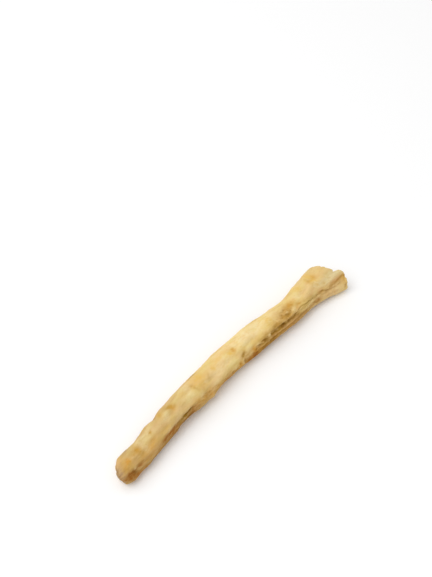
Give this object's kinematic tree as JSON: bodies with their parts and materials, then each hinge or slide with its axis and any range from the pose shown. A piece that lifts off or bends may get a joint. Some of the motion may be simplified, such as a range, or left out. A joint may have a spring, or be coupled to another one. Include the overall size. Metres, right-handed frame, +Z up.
{
  "type": "glehnia root",
  "caption": "Dried, peeled glehnia root cut to a slim, slightly bowed stick that lies on its side, with a lengthwise furrow, low scars, a worn thin end and a flared, split end.",
  "frame": {"origin": "middle of the root's box in plan, on the surface that it lies on", "axes": "+X along the root, from its thin worn end to its flared split end; +Z up"},
  "size_m": [0.0866, 0.0116, 0.008],
  "materials": {
    "dried_root": "matte, powdery dried root skin: pale straw with amber blotches, brown in the furrows and on the rims"
  },
  "bodies": {
    "root": {"glehnia_root": "dried_root"}
  },
  "joints": []
}
